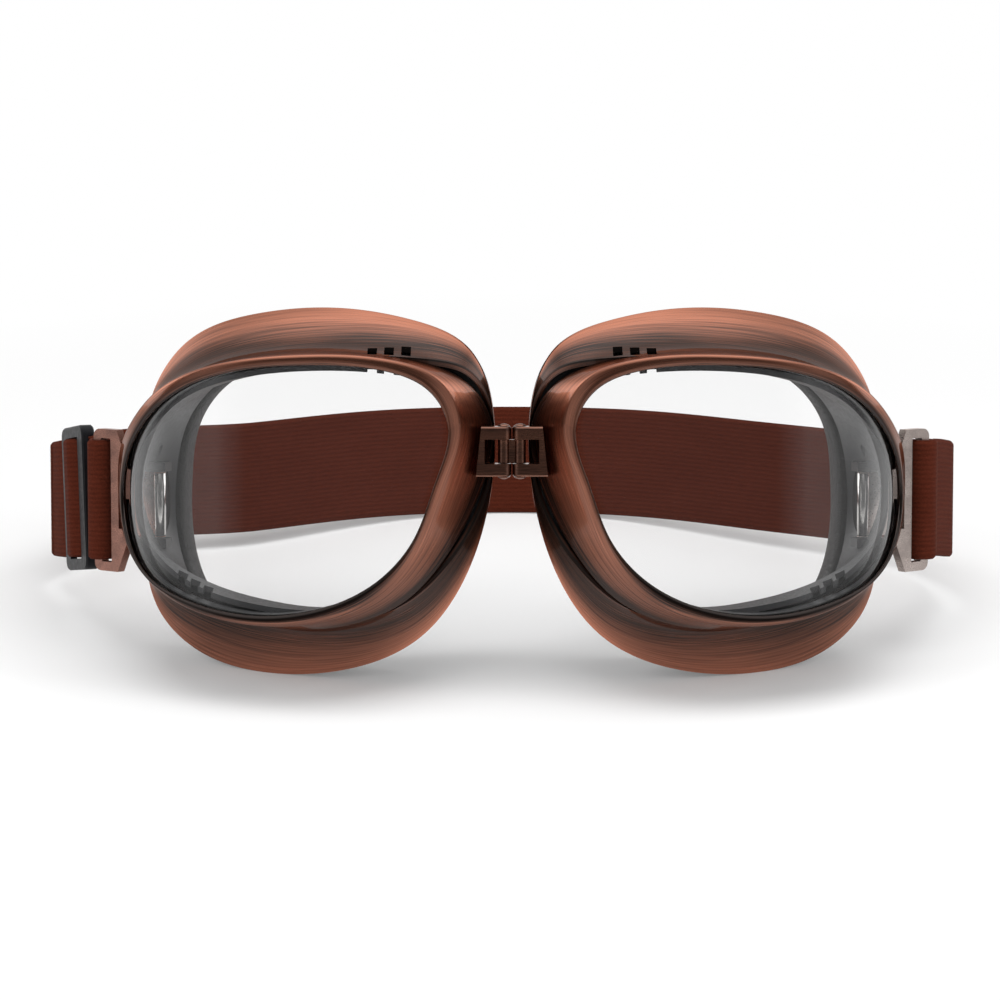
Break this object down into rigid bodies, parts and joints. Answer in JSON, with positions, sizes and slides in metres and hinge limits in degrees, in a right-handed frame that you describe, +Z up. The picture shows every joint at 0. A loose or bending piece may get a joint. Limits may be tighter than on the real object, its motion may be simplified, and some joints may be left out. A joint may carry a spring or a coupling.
{
  "type": "aviator goggles",
  "caption": "Flying goggles: wraparound metal eyecups with clear curved lenses, a hinged nose bridge, swinging strap brackets and an adjustable elastic headband.",
  "frame": {"origin": "on the table under the middle of the bounding box", "axes": "+X towards the wearer's left, along the pair of eyecups; +Y back from the lenses to the strap; +Z up"},
  "size_m": [0.205, 0.1498, 0.0783],
  "materials": {
    "copper": "brushed antique copper plate, darker in the recesses",
    "bracket_metal": "brushed dull copper",
    "pin_steel": "bright drawn wire",
    "lens": "clear and smooth",
    "gasket": "matt black",
    "shell": "matt dark grey moulding",
    "pad": "soft black leather over padding",
    "strap": "ribbed brown elastic webbing",
    "slider": "black enamel"
  },
  "bodies": {
    "bridge": {"bridge_link": "copper", "bridge_pin_left": "copper", "bridge_pin_right": "copper", "strap_rear_band": "strap", "strap_side_left": "strap", "strap_side_right": "strap"},
    "left_eyecup": {"front_bezel_left": "copper", "lens_left": "lens", "lens_gasket_left": "gasket", "rear_cowl_left": "copper", "inner_shell_left": "shell", "face_pad_left": "pad", "bracket_pin_left": "pin_steel", "bridge_leaf_left": "copper"},
    "right_eyecup": {"front_bezel_right": "copper", "lens_right": "lens", "lens_gasket_right": "gasket", "rear_cowl_right": "copper", "inner_shell_right": "shell", "face_pad_right": "pad", "bracket_pin_right": "pin_steel", "bridge_leaf_right": "copper"},
    "left_bracket": {"strap_bracket_left": "bracket_metal", "strap_adjuster_left": "strap"},
    "right_bracket": {"strap_bracket_right": "bracket_metal", "strap_loop_right": "strap"},
    "slider": {"strap_slider": "slider"}
  },
  "joints": [
    {"name": "right_eyecup_hinge", "type": "hinge", "parent": "bridge", "child": "right_eyecup", "pos_m": [0.00434, -0.06004, 0.05284], "axis": [0, 0.1957, 0.9807], "range_deg": [-10, 14]},
    {"name": "left_eyecup_hinge", "type": "hinge", "parent": "bridge", "child": "left_eyecup", "pos_m": [0.00094, -0.06004, 0.05284], "axis": [0, 0.1957, 0.9807], "range_deg": [-14, 10]},
    {"name": "right_bracket_hinge", "type": "hinge", "parent": "right_eyecup", "child": "right_bracket", "pos_m": [0.07818, -0.03958, 0.03509], "axis": [0, 0.1957, 0.9807], "range_deg": [-15, 12], "deforming": ["strap_side_right"]},
    {"name": "left_bracket_hinge", "type": "hinge", "parent": "left_eyecup", "child": "left_bracket", "pos_m": [-0.0729, -0.03958, 0.03509], "axis": [0, 0.1957, 0.9807], "range_deg": [-12, 15], "deforming": ["strap_side_left"]},
    {"name": "slider_slide", "type": "slide", "parent": "left_bracket", "child": "slider", "axis": [-0.3422, 0.9214, -0.1841], "range_m": [-0.004, 0.008], "deforming": ["strap_adjuster_left"]}
  ]
}
